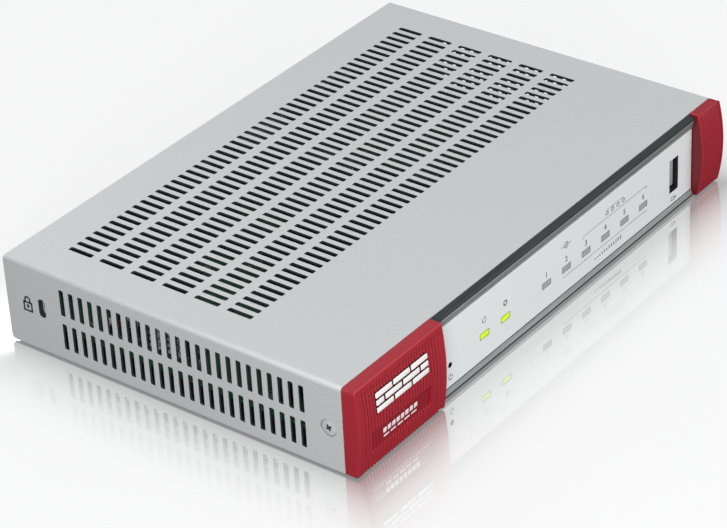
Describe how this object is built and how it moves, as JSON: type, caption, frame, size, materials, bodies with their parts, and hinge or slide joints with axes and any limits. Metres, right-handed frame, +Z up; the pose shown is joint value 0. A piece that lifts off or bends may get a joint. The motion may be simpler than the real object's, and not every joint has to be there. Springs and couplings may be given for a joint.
{
  "type": "firewall appliance",
  "caption": "Desktop network firewall: vented folded steel case, moulded front with status lamps and USB port, red end caps, rear network, transceiver and DC sockets, rocker switch.",
  "frame": {"origin": "centre of the footprint, on the plane the rubber feet stand on", "axes": "+X to the right along the front as seen from the front, +Y from the front to the rear panel, +Z up"},
  "size_m": [0.216, 0.1474, 0.033],
  "materials": {
    "case_paint": "fine textured powder coat, satin",
    "bezel_plastic": "brushed-look dark grey moulding",
    "panel_plastic": "smooth satin white",
    "cap_plastic": "satin red, finely ribbed",
    "emblem_plastic": "smooth white",
    "lit_lens": "clear lens lit yellow-green",
    "lens": "frosted clear lens, unlit",
    "board_laminate": "green solder mask",
    "component_plastic": "matt black moulding",
    "switch_plastic": "fine satin black",
    "socket_steel": "bright nickel plated",
    "hardware_steel": "zinc plated",
    "sink_aluminium": "extruded, black anodised",
    "foot_rubber": "matt black",
    "pad_silicone": "soft grey silicone",
    "contact_brass": "gold plated",
    "capacitor_sleeve": "shrink sleeve"
  },
  "bodies": {
    "chassis": {"top_cover": "case_paint", "bottom_tray": "case_paint", "lock_plate": "hardware_steel", "front_bezel": "bezel_plastic", "front_panel": "panel_plastic", "left_end_cap": "cap_plastic", "right_end_cap": "cap_plastic", "brick_emblem": "emblem_plastic", "status_light_pipe": "lit_lens", "port_light_pipe": "lens", "led_power": "lit_lens", "led_system": "lit_lens", "led_port_1": "lens", "led_port_2": "lens", "led_port_3": "lens", "led_port_4": "lens", "led_port_5": "lens", "led_port_6": "lens", "main_board": "board_laminate", "processor": "component_plastic", "thermal_pad": "pad_silicone", "heat_sink": "sink_aluminium", "switch_chip": "component_plastic", "memory_chip_1": "component_plastic", "memory_chip_2": "component_plastic", "flash_chip": "component_plastic", "line_transformer_1": "component_plastic", "line_transformer_2": "component_plastic", "line_transformer_3": "component_plastic", "capacitor_1": "capacitor_sleeve", "capacitor_2": "capacitor_sleeve", "capacitor_3": "capacitor_sleeve", "inductor": "component_plastic", "usb_shell": "socket_steel", "usb_insert": "panel_plastic", "reset_switch": "component_plastic", "console_jack": "socket_steel", "wan_jack": "socket_steel", "lan_jack_block": "socket_steel", "sfp_cage": "socket_steel", "dc_jack": "component_plastic", "dc_pin": "contact_brass", "power_switch_body": "switch_plastic", "side_screw_left": "case_paint", "side_screw_right": "case_paint", "rear_screw_left": "hardware_steel", "rear_screw_right": "hardware_steel", "board_screw_left_front": "hardware_steel", "board_screw_left_rear": "hardware_steel", "board_screw_right_front": "hardware_steel", "board_screw_right_rear": "hardware_steel", "foot_left_front": "foot_rubber", "foot_left_rear": "foot_rubber", "foot_right_front": "foot_rubber", "foot_right_rear": "foot_rubber"},
    "reset_button": {"reset_button": "switch_plastic"},
    "power_rocker": {"power_rocker": "switch_plastic"}
  },
  "joints": [
    {"name": "reset_press", "type": "slide", "parent": "chassis", "child": "reset_button", "axis": [0, 1, 0], "range_m": [0, 0.0004], "stiffness_N_per_m": 1500, "springref_m": -0.0002},
    {"name": "power_rock", "type": "hinge", "parent": "chassis", "child": "power_rocker", "pos_m": [0.083, 0.0696, 0.017], "axis": [1, 0, 0], "range_deg": [0, 20]}
  ]
}
